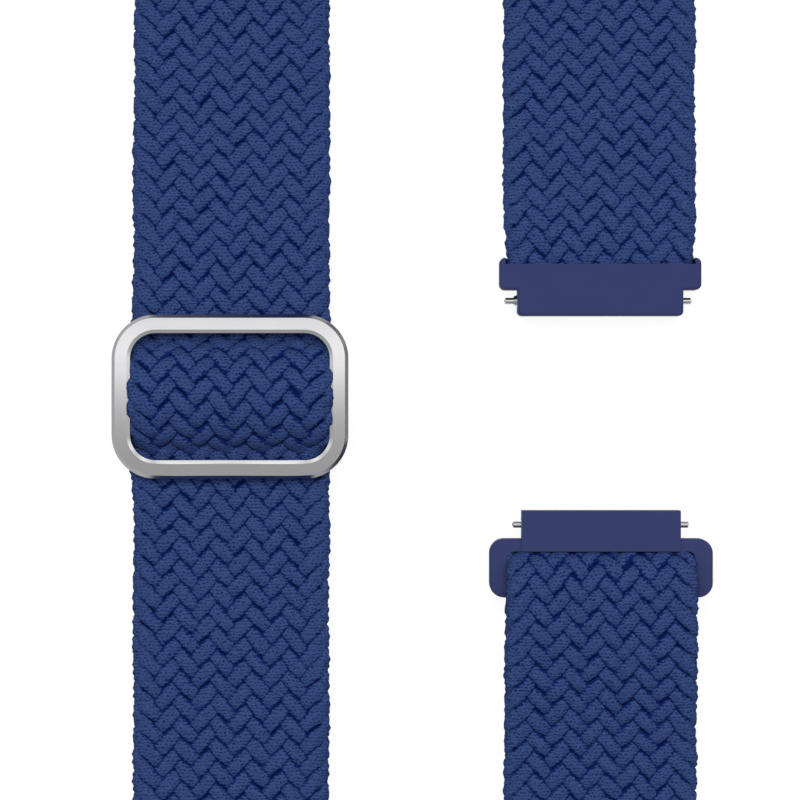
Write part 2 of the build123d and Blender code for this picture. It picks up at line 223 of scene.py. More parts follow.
def loop_route():
    """Up over the ring's lower bar, through the slot and back underneath: the fold is half an ellipse,
    a little slack towards the ring's upper bar."""
    top = LOOP_AXIS_Z + LOOP_RADIUS
    bottom = LOOP_AXIS_Z - LOOP_RADIUS
    fold = arc((LOOP_AXIS_Y, LOOP_AXIS_Z), LOOP_RADIUS, pi / 2, -pi / 2)
    fold[:, 0] += (fold[:, 0] - LOOP_AXIS_Y) * LOOP_SLACK / LOOP_RADIUS
    return np.concatenate(
        [
            level_change((LOWER_TURN_Y, OUTER_LEVEL), (LOOP_AXIS_Y, top)),
            fold,
            line((LOOP_AXIS_Y, bottom), (LOWER_TURN_Y, FLOOR_LEVEL)),
        ]
    )


def fixed_route():
    """From the pocket of the fixed end, down to the floor and up the right column."""
    return np.concatenate(
        [
            line((FIXED_END_Y, FIXED_LEVEL), (COLLAR_TOP_Y, FIXED_LEVEL)),
            level_change((COLLAR_TOP_Y, FIXED_LEVEL), (COLLAR_TOP_Y + BAND_RISE, FLOOR_LEVEL)),
            line((COLLAR_TOP_Y + BAND_RISE, FLOOR_LEVEL), (UPPER_TURN_Y, FLOOR_LEVEL)),
        ]
    )


class BandLine:
    """The band's middle line as functions of the length along it, and the length where each run ends."""

    def __init__(self, runs):
        centres, across = zip(*runs.values())
        points = np.concatenate(centres)
        widths = np.concatenate(across)
        last_places = np.cumsum([len(run) for run in centres]) - 1
        steps = np.linalg.norm(np.diff(points, axis=0), axis=1)
        length = np.concatenate([[0.0], np.cumsum(steps)])
        keep = np.concatenate([[True], steps > SAME_PLACE])
        self.length = length[keep]
        self.points = points[keep]
        self.widths = widths[keep]
        self.ends = dict(zip(runs, length[last_places]))
        tangent = np.gradient(self.points, self.length, axis=0)
        normal = np.cross(self.widths, tangent)
        self.normals = normal / np.linalg.norm(normal, axis=1)[:, None]

    def read(self, table, place):
        """Linear reading of a table of vectors at any lengths; past the ends it keeps the end's value."""
        shape = np.shape(place)
        flat = np.ravel(place)
        found = np.stack([np.interp(flat, self.length, table[:, i]) for i in range(3)], axis=1)
        return found.reshape(shape + (3,))

    def centre(self, place):
        """Middle point at a length; beyond either end the line goes straight on."""
        found = self.read(self.points, place)
        over = np.maximum(place - self.length[-1], 0)[..., None]
        under = np.minimum(place - self.length[0], 0)[..., None]
        last = (self.points[-1] - self.points[-2]) / (self.length[-1] - self.length[-2])
        first = (self.points[1] - self.points[0]) / (self.length[1] - self.length[0])
        return found + over * last + under * first


def band_line():
    """All the runs of the band in order."""
    upper_stretch = level_change((UPPER_TURN_Y, FLOOR_LEVEL), (SLIDER_HIGH_Y, OUTER_LEVEL))
    lower_stretch = line((SLIDER_LOW_Y, OUTER_LEVEL), (LOWER_TURN_Y, OUTER_LEVEL))
    return_stretch = line((LOWER_TURN_Y, FLOOR_LEVEL), (SLIDER_LOW_Y, FLOOR_LEVEL))
    return BandLine(
        {
            "fixed_run": column(fixed_route(), RIGHT_X, 1.0),
            "upper_turn": half_turn(UPPER_TURN_Y, side=1, layer=0, first=0, last=pi),
            "upper_stretch": column(upper_stretch, LEFT_X, -1.0),
            "in_slider": column(slider_crest(), LEFT_X, -1.0),
            "lower_stretch": column(lower_stretch, LEFT_X, -1.0),
            "lower_turn": half_turn(LOWER_TURN_Y, side=-1, layer=1, first=pi, last=0),
            "ring_loop": column(loop_route(), RIGHT_X, 1.0),
            "return_turn": half_turn(LOWER_TURN_Y, side=-1, layer=0, first=0, last=pi),
            "return_stretch": column(return_stretch, LEFT_X, -1.0),
            "sewn_end": column(sewn_route(), LEFT_X, -1.0),
        }
    )


BAND = band_line()

# The braid

STRANDS = 21
ROW_PITCH = 2.66 * MM
CROSSING_RISE = ROW_PITCH / 2
CROSSING_STEP = 1.055 * MM
RINGS_PER_CROSSING = 7
RING_POINTS = 12
SPARE_RINGS = 2

# Counted in crossings: half the braid's width, how tightly a strand turns at an edge, half its float
# there, and the stretch in which it turns over
HALF_SPAN = STRANDS / 2
EDGE_TURN = 0.35
EDGE_FLOAT = 1.5
TWIST_SPAN = 2.6

# A strand's section and its height: powers under 1 and more flatness make them squarer
WIDE_POWER = 0.85
TALL_POWER = 0.7
FLATNESS = 0.6
PLUMP_SHARE = 0.045

# The edges: the yarn's loops there, and where they and the edge's crown begin, as shares of half the
# width
EDGE_TOOTH = 0.44 * MM
TOOTH_WANDER = 2.5
BULGE_POWER = 6
LOOPS_START_SHARE = 0.86
CROWN_START_SHARE = 0.93
EDGE_FADE_SHARE = 0.06

# Millimetres of yarn from one strand's start to the next one's, and sideways slip as a share of the slip
# along
YARN_OFFSET = 7.3
DRIFT_SHARE = 0.5


class Wander:
    """Smooth unevenness over the band: a sum of sine waves with seeded directions and with lengths
    between the shortest and the longest, in millimetres, divided so that its typical size is 1."""

    def __init__(self, seed, shortest, longest, waves=14):
        chance = np.random.default_rng(seed)
        turn = chance.uniform(0, 2 * pi, waves)
        rate = 2 * pi / (chance.uniform(shortest, longest, waves) * MM)
        self.across = rate * np.cos(turn)
        self.along = rate * np.sin(turn)
        self.start = chance.uniform(0, 2 * pi, waves)

    def __call__(self, side, length):
        """The sum at places across and along the band."""
        total = 0.0
        for across, along, start in zip(self.across, self.along, self.start):
            total = total + np.sin(side * across + length * along + start)
        return total / (len(self.start) / 2) ** 0.5


DRIFT = Wander(seed=3, shortest=5, longest=12)
SLIP = Wander(seed=5, shortest=4, longest=10)
PLUMP = Wander(seed=8, shortest=2.4, longest=6)


def width_share(length):
    """Width of the braid as a share of its usual width: straight lines between stops along the band. It
    swells in the slider's window, and is squeezed in the fixed end's pocket and in the ring."""
    ends = BAND.ends
    pocket = COLLAR_TOP_Y - FIXED_END_Y
    crest = (ends["upper_stretch"] + ends["in_slider"]) / 2
    half_fold = 4 * MM
    ring = ends["lower_turn"] + (LOOP_AXIS_Y - LOWER_TURN_Y) + half_fold
    width_shares = [
        (0, 0.965),
        (pocket, 0.968),
        (pocket + 5 * MM, 1.0),
        (ends["upper_turn"], 1.0),
        (ends["upper_turn"] + 8 * MM, 1.018),
        (ends["upper_stretch"], 1.018),
        (crest - 7 * MM, 1.05),
        (crest - 3 * MM, 1.06),
        (crest + 3 * MM, 1.06),
        (crest + 7 * MM, 1.05),
        (ends["in_slider"], 1.018),
        (ends["lower_stretch"], 1.015),
        (ends["lower_turn"], 0.995),
        (ring - 14 * MM, 0.99),
        (ring - 6 * MM, 0.974),
        (ring + 6 * MM, 0.974),
        (ends["ring_loop"], 0.985),
        (BAND.length[-1], 0.985),
    ]
    places, shares = np.array(width_shares).T
    return np.interp(length, places, shares)


def strand_paths(places, sizes):
    """Where each strand is across and through the band, at nominal lengths along it.

    A strand goes back and forth between the edges at a steady rate and turns round there on a small
    hyperbola. It lies over two crossings and under two: its height is a flattened cosine of the
    crossings passed, which at an edge is stretched to a sine, so that it comes round from below. It runs
    a little flatter where it lies on top, because its length is shifted by a sine of the same phase. The
    last value is the angle by which it has turned over, a smooth step of half a turn at each edge.
    """
    index = np.arange(STRANDS)[:, None]
    passed = (places[None, :] - index * ROW_PITCH) / CROSSING_RISE
    lap = np.mod(passed, 4 * HALF_SPAN)
    from_left = np.minimum(lap, 4 * HALF_SPAN - lap)
    from_right = 2 * HALF_SPAN - from_left
    near_right = from_right < HALF_SPAN
    left = -HALF_SPAN + np.sqrt(from_left**2 + EDGE_TURN**2)
    right = HALF_SPAN - np.sqrt(from_right**2 + EDGE_TURN**2)
    across = np.where(near_right, right, left)
    half_lap = np.mod(passed, 2 * HALF_SPAN)
    past_edge = np.where(half_lap > HALF_SPAN, half_lap - 2 * HALF_SPAN, half_lap)
    at_edge = np.abs(past_edge) < EDGE_FLOAT
    edge_phase = pi * past_edge / (2 * EDGE_FLOAT)
    phase = pi * (half_lap - EDGE_FLOAT) / 2
    wave = np.where(at_edge, np.sin(edge_phase), np.cos(phase))
    height = wave * (1 + FLATNESS - FLATNESS * wave**2)
    shift = np.where(at_edge, EDGE_FLOAT * np.cos(edge_phase), -np.sin(phase))
    twist = np.clip(past_edge / TWIST_SPAN + 0.5, 0, 1)
    twist = twist * twist * (3 - 2 * twist)
    back = np.where(near_right, twist, 1 - twist)
    return across, height, shift * sizes.lean * MM, back * pi


def unit(vectors):
    """Vectors divided by their lengths."""
    return vectors / np.linalg.norm(vectors, axis=-1)[..., None]


def ring_outline():
    """A strand's section, a superellipse: cosine and sine, each drawn out by its own power."""
    angle = np.linspace(0, 2 * pi, RING_POINTS, endpoint=False)
    wide = np.sign(np.cos(angle)) * np.abs(np.cos(angle)) ** WIDE_POWER
    tall = np.sign(np.sin(angle)) * np.abs(np.sin(angle)) ** TALL_POWER
    return wide, tall


def weave_places(offset, side, length, lift, width_axis, normal):
    """Where each point is on the yarn: in millimetres across the band and along the strand, and its
    crown, which goes from 0 in the band's middle to 1 at its faces and edges. The places come from the
    strand's middle and the offset's parts along the band's own directions. Each strand starts elsewhere
    on the yarn."""

    def part(axis):
        """The offset's part along an axis."""
        return np.einsum("kjrc,kjc->kjr", offset, axis)

    across = side[:, :, None] + part(width_axis)
    along = length[:, :, None] - part(np.cross(width_axis, normal))
    crown = np.abs(lift[:, :, None] + part(normal)) / (BAND_THICKNESS / 2)
    # At the band's edges the crown is raised to 1, so that no crevice shade is painted there
    beyond = np.abs(across) / (BAND_WIDTH / 2) - CROWN_START_SHARE
    crown = np.maximum(crown, np.clip(beyond / EDGE_FADE_SHARE, 0, 1))
    own_start = YARN_OFFSET * np.arange(STRANDS)[:, None, None]
    return np.stack([across / MM, along / MM + own_start, crown], axis=-1)


def braid(name, first, last, sizes, thickness=None):
    """One run of the braid as a mesh: each strand is a flattened ring carried along its path.

    The ring's points follow a superellipse, whose wide axis lies in the band, and none sinks below the
    surface that the strap lies on. thickness gives the share of the band's own thickness at any length
    along it. Spare rings at each end take part in the slopes and are then left out, so that one run's
    last ring is the next one's first.
    """
    step = CROSSING_RISE / RINGS_PER_CROSSING
    first_ring = int(round(first / step)) - SPARE_RINGS
    last_ring = int(round(last / step)) + SPARE_RINGS
    places = np.arange(first_ring, last_ring + 1) * step
    across, height, shift, back = strand_paths(places, sizes)
    length = places[None, :] + shift
    thin = thickness(length) if thickness else 1.0
    plump = 1 + PLUMP_SHARE * PLUMP(across * CROSSING_STEP, length)
    half_thick = sizes.strand_thickness * MM / 2 * thin
    lift = (BAND_THICKNESS / 2 * thin - half_thick) * height
    bulge = 1 + sizes.edge_bulge * (np.abs(across) / HALF_SPAN) ** BULGE_POWER
    side = across * CROSSING_STEP * bulge * width_share(length)
    length = length + sizes.unevenness * MM * SLIP(side, length)
    side = side + DRIFT_SHARE * sizes.unevenness * MM * DRIFT(side, length)
    width_axis = BAND.read(BAND.widths, length)
    normal = unit(BAND.read(BAND.normals, length))
    middles = BAND.centre(length) + width_axis * side[..., None] + normal * lift[..., None]
    slope = unit(np.gradient(middles, axis=1))
    upright = normal * np.cos(back)[..., None] - width_axis * np.sin(back)[..., None]
    wide = unit(np.cross(slope, upright))
    upright = np.cross(wide, slope)
    near_edge = (np.abs(across) - LOOPS_START_SHARE * HALF_SPAN) / (EDGE_FADE_SHARE * HALF_SPAN)
    near_edge = np.clip(near_edge, 0, 1)
    half_wide = sizes.strand_width * MM / 2 * plump * (1 - (1 - thin) * np.sin(back))
    half_wide = half_wide * (1 - sizes.pinch * (1 - height**2) * (1 - near_edge))
    tooth = np.sin(2 * pi * length / EDGE_TOOTH + TOOTH_WANDER * PLUMP(side, length)) * near_edge
    half_thick = half_thick * (1 + sizes.edge_teeth * tooth)
    ring_wide, ring_tall = ring_outline()
    spread = wide[:, :, None, :] * (ring_wide * half_wide[:, :, None])[..., None]
    rise = upright[:, :, None, :] * (ring_tall * half_thick[:, :, None])[..., None]
    points = middles[:, :, None, :] + spread + rise
    points[..., 2] = np.maximum(points[..., 2], 0)
    weave = weave_places(spread + rise, side, length, lift, width_axis, normal)
    kept = slice(SPARE_RINGS, -SPARE_RINGS)
    # How far each point lies towards its strand's side, none near the band's edges and all on the caps:
    # the material paints shade along the strands' sides with it
    flank = np.abs(ring_wide) * (1 - near_edge[:, kept, None])
    cap_flank = np.ones(2 * STRANDS * RING_POINTS)
    piece = tube_mesh(name, points[:, kept])
    keep_on_points(piece, "weave_place", with_caps(weave[:, kept]))
    keep_on_points(piece, "strand_flank", np.concatenate([flank.ravel(), cap_flank]))
    return piece


def with_caps(values):
    """Vectors of all points, as [tube, ring, point], and then those of the first and last rings again,
    for the caps."""
    parts = (values, values[:, 0], values[:, -1])
    return np.concatenate([part.reshape(-1, 3) for part in parts])


def keep_on_points(piece, name, values):
    """Keep a number or a vector for each point of a mesh, for its material to read."""
    kind, key = ("FLOAT", "value") if values.ndim == 1 else ("FLOAT_VECTOR", "vector")
    attribute = piece.data.attributes.new(name, kind, "POINT")
    attribute.data.foreach_set(key, values.ravel().astype(np.float32))


def tube_mesh(name, points):
    """Closed tubes from an array of rings, as [tube, ring, point]: quads between each ring and the next.
    The two caps have points of their own, so that they don't shade the sides."""
    tubes, rings, around = points.shape[:3]
    number = np.arange(tubes * rings * around).reshape(tubes, rings, around)
    ahead = np.roll(number, -1, axis=2)
    quads = np.stack([number[:, :-1], ahead[:, :-1], ahead[:, 1:], number[:, 1:]], axis=-1)
    quads = quads.reshape(-1, 4)
    caps = number.size + np.arange(2 * tubes * around).reshape(2 * tubes, around)
    caps[:tubes] = caps[:tubes, ::-1]
    places = with_caps(points)
    corners = np.concatenate([quads.ravel(), caps.ravel()]).astype(np.int32)
    sizes = np.concatenate([np.full(len(quads), 4), np.full(len(caps), around)])
    starts = (np.cumsum(sizes) - sizes).astype(np.int32)
    mesh = bpy.data.meshes.new(name)
    mesh.vertices.add(len(places))
    mesh.vertices.foreach_set("co", places.ravel().astype(np.float32))
    mesh.loops.add(len(corners))
    mesh.loops.foreach_set("vertex_index", corners)
    mesh.polygons.add(len(sizes))
    mesh.polygons.foreach_set("loop_start", starts)
    mesh.polygons.foreach_set("use_smooth", np.ones(len(sizes), bool))
    mesh.update(calc_edges=True)
    mesh.validate()
    piece = bpy.data.objects.new(name, mesh)
    bpy.context.scene.collection.objects.link(piece)
    return piece


# Shader maths


class Socket:
    """A node's output that can be used in sums; each sum adds its Math node."""

    def __init__(self, tree, link):
        self.tree = tree
        self.link = link

    def math(self, operation, *others):
        """A Math node with this socket first and the others after it."""
        node = self.tree.nodes.new("ShaderNodeMath")
        node.operation = operation
        for place, value in enumerate((self,) + others):
            put(self.tree, node.inputs[place], value)
        return Socket(self.tree, node.outputs[0])

    def __add__(self, other):
        return self.math("ADD", other)

    __radd__ = __add__

    def __sub__(self, other):
        return self.math("SUBTRACT", other)

    def __rsub__(self, other):
        return (self * -1) + other

    def __mul__(self, other):
        return self.math("MULTIPLY", other)

    __rmul__ = __mul__

    def __truediv__(self, other):
        return self.math("DIVIDE", other)

    def sine(self):
        """Sine of an angle in radians."""
        return self.math("SINE")

    def clamp(self):
        """Kept between 0 and 1."""
        return self.math("MAXIMUM", 0.0).math("MINIMUM", 1.0)

    def ramp(self, start, end):
        """0 below start, 1 above end, smooth between them."""
        share = ((self - start) / (end - start)).clamp()
        return share * share * (3 - 2 * share)

    def bell(self, centre, spread):
        """1 at the centre, and less to both sides: e to the power of minus the squared distance over
        the spread."""
        off = (self - centre) / spread
        return (off * off * -1.0).math("EXPONENT")


def put(tree, target, value):
    """Set a socket to a number or colour, or link it to another socket."""
    if isinstance(value, Socket):
        tree.links.new(value.link, target)
    else:
        target.default_value = value


class Nodes:
    """A node tree under construction."""

    def __init__(self, tree):
        self.tree = tree
        self.tree.nodes.clear()

    def node(self, kind, *values, settings=None, output=None, **named):
        """Add a node: its settings are set first, and then its inputs, in order or by name, with _ for a
        space. Only sockets that the settings leave in use count. It gives the output of that name, or
        else the first one."""
        node = self.tree.nodes.new(kind)
        for key, value in (settings or {}).items():
            setattr(node, key, value)
        inputs = [socket for socket in node.inputs if socket.enabled]
        for socket, value in zip(inputs, values):
            put(self.tree, socket, value)
        for key, value in named.items():
            name = key.replace("_", " ")
            put(self.tree, next(socket for socket in inputs if socket.name == name), value)
        used = [socket for socket in node.outputs if socket.enabled]
        outputs = [socket for socket in used if output in (None, socket.name)]
        return Socket(self.tree, outputs[0]) if outputs else None

    def mix(self, share, first, second):
        """Colour between first and second."""
        return self.node("ShaderNodeMix", share, first, second, settings={"data_type": "RGBA"})

    def split(self, vector):
        """The three parts of a vector."""
        parts = self.node("ShaderNodeSeparateXYZ", vector).link.node.outputs
        return [Socket(self.tree, part) for part in parts]

    def join(self, x, y, z):
        """A vector from three numbers or sockets."""
        return self.node("ShaderNodeCombineXYZ", x, y, z)

    def noise(self, vector, scale, detail=2.0):
        """Smooth noise between 0 and 1."""
        return self.node("ShaderNodeTexNoise", Vector=vector, Scale=scale, Detail=detail)

    def bump(self, height, depth, strength):
        """A normal for a relief whose height is a share of the depth."""
        return self.node("ShaderNodeBump", Strength=strength, Distance=depth, Height=height)


class Finish(Nodes):
    """A material under construction."""

    def __init__(self, name):
        self.material = bpy.data.materials.new(name)
        self.material.use_nodes = True
        super().__init__(self.material.node_tree)

    def surface(self, **inputs):
        """The shader, linked to the output."""
        shader = self.node("ShaderNodeBsdfPrincipled", **inputs)
        self.node("ShaderNodeOutputMaterial", shader)
        return self.material

    def place(self):
        """Object coordinates, in metres."""
        return self.node("ShaderNodeTexCoord", output="Object")

    def kept(self, name, output):
        """What a mesh keeps on its points under a name."""
        settings = {"attribute_name": name}
        return self.node("ShaderNodeAttribute", settings=settings, output=output)


def linear(red, green, blue):
    """Linear colour from the 0 to 255 values that a screen shows, by the sRGB curve."""
    share = np.array([red, green, blue]) / 255
    return tuple(np.where(share <= 0.04045, share / 12.92, ((share + 0.055) / 1.055) ** 2.4)) + (1.0,)


def braid_finish(looks):
    """Knitted elastic yarn: fine cross ribs with painted shade in the gaps between them, the yarn's
    colour on the floats' crowns, and painted shade, deep blue, in the crevices and along the strands'
    sides.

    The ribs are a sine of the place along the strand, which noise makes wander. A second sine, across
    the strand and moved from row to row, breaks the painted shade in the gaps between them into dashes.
    The colour goes from the painted crevice shade to the yarn's with the crown, and back to the painted
    shade on the strands' ragged flanks.
    """
    new = Finish("braid_yarn")
    across, along, crown = new.split(new.kept("weave_place", "Vector"))
    flank = new.kept("strand_flank", "Fac")

    def wander(layer, scale, detail=2.0):
        """Noise over the yarn, about 0; each layer has another pattern."""
        return new.noise(new.join(across, along, layer), scale, detail) - 0.5

    length = along + wander(layer=0.0, scale=1.3) * 0.8
    side = across + wander(layer=7.0, scale=1.1) * 0.8
    rib = (length * (2 * pi / looks.rib_pitch)).sine() * 0.5 + 0.5
    row = (length * (pi / looks.rib_pitch)).sine() * 2.2
    dash = (side * (2 * pi / looks.loop_pitch) + row).sine() * 0.5 + 0.5
    gap = (1 - rib).ramp(0.1, 0.9)
    patchy = wander(layer=3.0, scale=1.3, detail=1.0) * 1.6 + 0.95
    # Painted shade in the gaps between the ribs, broken into dashes and patches; the same value sinks the
    # relief
    knit = gap * (dash.ramp(0.25, 0.8) * 0.62 + 0.36) * patchy
    grain = wander(layer=crown, scale=4.5, detail=3.0)
    # Brightness of the lit yarn: painted rib-gap shade together with random grain
    shade = (1.08 - knit + grain * 2.6).clamp()
    # Painted shade along each strand's sides, with a ragged edge, reaching a little into the rib gaps
    frayed = flank + wander(layer=9.0, scale=3.6, detail=1.0) * 0.7 + gap * 0.16
    # Share of the yarn's colour: the rest is painted crevice shade, where the crown is low and on the
    # strands' flanks
    depth = crown.ramp(0.3, 0.74) * (1 - frayed.ramp(0.66, 0.88))
    lit = new.mix(shade, looks.yarn_shadow, looks.yarn)
    colour = new.mix(depth, looks.painted_crevice_shade, lit)
    relief = new.bump(grain * 0.5 - knit * 0.8, depth=0.06 * MM, strength=0.5)
    return new.surface(Base_Color=colour, Roughness=0.95, Normal=relief, Specular_IOR_Level=0.02)


def plastic_finish(looks):
    """Matte moulded plastic: noise for its very fine spark-eroded grain and for faint clouds."""
    new = Finish("moulded_plastic")
    place = new.place()
    grain = new.noise(place, scale=9000.0)
    cloud = new.noise(place, scale=260.0).ramp(0.3, 0.7)
    colour = new.mix(cloud, looks.plastic_deep, looks.plastic)
    relief = new.bump(grain, depth=0.02 * MM, strength=0.25)
    gloss = grain * 0.12 + 0.46
    return new.surface(Base_Color=colour, Roughness=gloss, Normal=relief, Specular_IOR_Level=0.2)


def satin_finish(looks):
    """Satin steel: noise drawn out across the frame for its fine brushing, clouds in its polish, and
    painted shade, a darker steel, on the slanting faces of the bevelled edges."""
    new = Finish("satin_steel")
    place = new.place()
    across, along, up = new.split(place)
    brush = new.noise(new.join(across * 200, along * 4200, up * 1200), scale=1.0)
    cloud = new.noise(place, scale=180.0)
    facing = new.split(new.node("ShaderNodeNewGeometry", output="Normal"))[2].math("ABSOLUTE")
    # Painted shade on faces that slant between upright and flat, the bevelled edges
    edges = facing.ramp(0.3, 0.5) * (1 - facing.ramp(0.82, 0.88))
    colour = new.mix(cloud, looks.steel_deep, looks.steel)
    colour = new.mix(edges, colour, looks.steel_bevel_shade)
    relief = new.bump(brush, depth=0.01 * MM, strength=0.08)
    gloss = brush * 0.06 + 0.15 + cloud * 0.03
    return new.surface(Base_Color=colour, Metallic=1.0, Roughness=gloss, Normal=relief)


def turned_finish(looks):
    """Bright turned steel: noise along X alone, which is the bars' own axis, for its fine rings."""
    new = Finish("turned_steel")
    across = new.split(new.place())[0]
    rings = new.noise(new.join(across * 30000, 0.0, 0.0), scale=1.0, detail=1.0)
    colour = new.mix(rings, looks.steel_deep, looks.steel)
    relief = new.bump(rings, depth=0.01 * MM, strength=0.15)
    gloss = rings * 0.06 + 0.1
    return new.surface(Base_Color=colour, Metallic=1.0, Roughness=gloss, Normal=relief)


def dress(material, *nodes):
    """Give CAD nodes a finish."""
    for name in nodes:
        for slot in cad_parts[name].material_slots:
            slot.material = material


# Sizes and colours that a user would change


class BraidSizes(bpy.types.PropertyGroup):
    """The strands of the braid."""

    strand_width: bpy.props.FloatProperty(
        name="Strand width", description="Width of one strand, in millimetres", default=2.12
    )
    strand_thickness: bpy.props.FloatProperty(
        name="Strand thickness", description="Thickness of one strand, in millimetres", default=1.26
    )
    lean: bpy.props.FloatProperty(
        name="Lean", description="How much flatter a strand runs on top, in millimetres", default=0.18
    )
    edge_bulge: bpy.props.FloatProperty(
        name="Edge bulge", description="How far the edges stand out, as a share", default=0.03
    )
    unevenness: bpy.props.FloatProperty(
        name="Unevenness", description="Typical slip of the strands, in millimetres", default=0.1
    )
    pinch: bpy.props.FloatProperty(
        name="Pinch", description="How much narrower a strand is where it dives, as a share", default=0.12
    )
    edge_teeth: bpy.props.FloatProperty(
        name="Edge teeth", description="Relief of the yarn loops on the edges, as a share", default=0.18
    )


def colour_property(name, words, default):
    """A colour for the panel."""
    return bpy.props.FloatVectorProperty(
        name=name, description=words, subtype="COLOR", size=4, min=0, max=1, default=default
    )


class Colours(bpy.types.PropertyGroup):
    """The colours and the yarn's texture."""

    yarn: colour_property("Yarn", "Crowns of the floats", linear(58, 78, 128))
    # Painted shade: the colour painted in the gaps between the yarn's ribs
    yarn_shadow: colour_property("Yarn shadow", "Between the yarn's ribs", linear(26, 44, 94))
    # Painted shade: the colour painted in the crevices and along the strands' sides
    painted_crevice_shade: colour_property("Crevice", "Deep between the strands", linear(15, 36, 96))
    plastic: colour_property("Plastic", "Moulded ends", linear(52, 60, 106))
    plastic_deep: colour_property("Plastic, deep", "Moulded ends, darker clouds", linear(50, 58, 104))
    steel: colour_property("Steel", "Slider and spring bars", linear(214, 214, 215))
    steel_deep: colour_property("Steel, deep", "Darker clouds of the steel", linear(204, 204, 206))
    # Painted shade: a darker steel on the frame's slanting bevels
    steel_bevel_shade: colour_property("Steel, edges", "Duller edges of the frame", linear(162, 162, 165))
    rib_pitch: bpy.props.FloatProperty(
        name="Rib pitch", description="Distance between the yarn's ribs, in millimetres", default=0.4
    )
    loop_pitch: bpy.props.FloatProperty(
        name="Loop pitch", description="Distance between the yarn's loops, in millimetres", default=0.5
    )


class StudioSizes(bpy.types.PropertyGroup):
    """The camera and the studio."""

    view_width: bpy.props.FloatProperty(
        name="View width", description="Width of the picture", default=95.6 * MM, unit="LENGTH"
    )
    view_x: bpy.props.FloatProperty(
        name="View X", description="Place of the camera along X", default=-1.5 * MM, unit="LENGTH"
    )
    lens: bpy.props.FloatProperty(
        name="Lens", description="Focal length of the camera", default=150, subtype="DISTANCE_CAMERA"
    )
    key_power: bpy.props.FloatProperty(
        name="Key power", description="Power of the lamp on the left", default=2.5, unit="POWER"
    )
    fill_power: bpy.props.FloatProperty(
        name="Fill power", description="Power of the lamp on the right", default=1.9, unit="POWER"
    )


# The band's pieces

# The runs in order, each with the body that it rides on; one without is stretched from the strap to the
# slider
RUN_BODIES = {
    "fixed_run": "strap",
    "upper_turn": "strap",
    "upper_stretch": None,
    "in_slider": "slider",
    "lower_stretch": None,
    "lower_bend": "strap",
    "lower_turn": "strap",
    "ring_loop": "strap",
    "return_turn": "strap",
    "return_stretch": None,
    "sewn_end": "slider",
}
# Runs that stand for other nodes than the one of their own name
STANDS_FOR = {
    "fixed_run": ["band_fixed_run", "band_sealed_end"],
    "lower_bend": ["band_lower_turn"],
}
PRESS_REACH = 2 * MM


def pressed(length):
    """Share of the band's thickness: full up to the sewn end, and pressed thinner on a straight slope."""
    share = np.clip((length - BAND.ends["return_stretch"]) / PRESS_REACH, 0, 1)
    return 1 - (1 - SEWN_THICKNESS / BAND_THICKNESS) * share


# The studio

KEY_PLACE = (-0.30, 0.36, 0.84)
FILL_PLACE = (0.30, 0.30, 0.86)
LAMP_SIZE = 0.40
FLOOR_REACH = 3.0
FLOOR_DROP = 0.02 * MM
FLOOR_GLOW = 0.9
PAPER = (0.86, 0.86, 0.86, 1)
SHADOW_PAPER = (0.17, 0.17, 0.17, 1)
WHITE = (1, 1, 1, 1)
SENSOR_WIDTH = 36
CLIP_START = 0.01
CLIP_END = 20


# Operators


class STRAP_OT_finishes(bpy.types.Operator):
    """Make the materials and give them to the CAD pieces that keep their shape"""

    bl_idname = "strap.finishes"
    bl_label = "Finishes"

    def execute(self, context):
        looks = context.scene.strap_colours
        braid_finish(looks)
        dress(plastic_finish(looks), "fixed_end_housing", "loop_end_ring")
        dress(satin_finish(looks), "slider_frame", "slider_crossbar")
        turned = turned_finish(looks)
        for end in ("fixed", "loop"):
            for part in ("bar_tube", "bar_plunger", "bar_pivot", "bar_spring", "release_knob"):
                dress(turned, f"{end}_{part}")
        return {"FINISHED"}


class STRAP_OT_band(bpy.types.Operator):
    """Weave the band, run by run, with the same strands from end to end"""

    bl_idname = "strap.band"
    bl_label = "Braided band"

    def execute(self, context):
        sizes = context.scene.strap_braid
        ends = dict(BAND.ends)
        # the lower turn is cut once more, because as one piece it would have too many faces
        ends["lower_bend"] = (ends["lower_stretch"] + ends["lower_turn"]) / 2
        yarn = bpy.data.materials["braid_yarn"]
        first = 0.0
        for run, body in RUN_BODIES.items():
            last = ends[run]
            thickness = pressed if run == "sewn_end" else None
            piece = braid(f"braid_{run}", first, last, sizes, thickness)
            first = last
            piece.data.materials.append(yarn)
            if body:
                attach(piece, body)
            else:
                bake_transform(piece)
            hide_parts(*STANDS_FOR.get(run, [f"band_{run}"]))
        return {"FINISHED"}


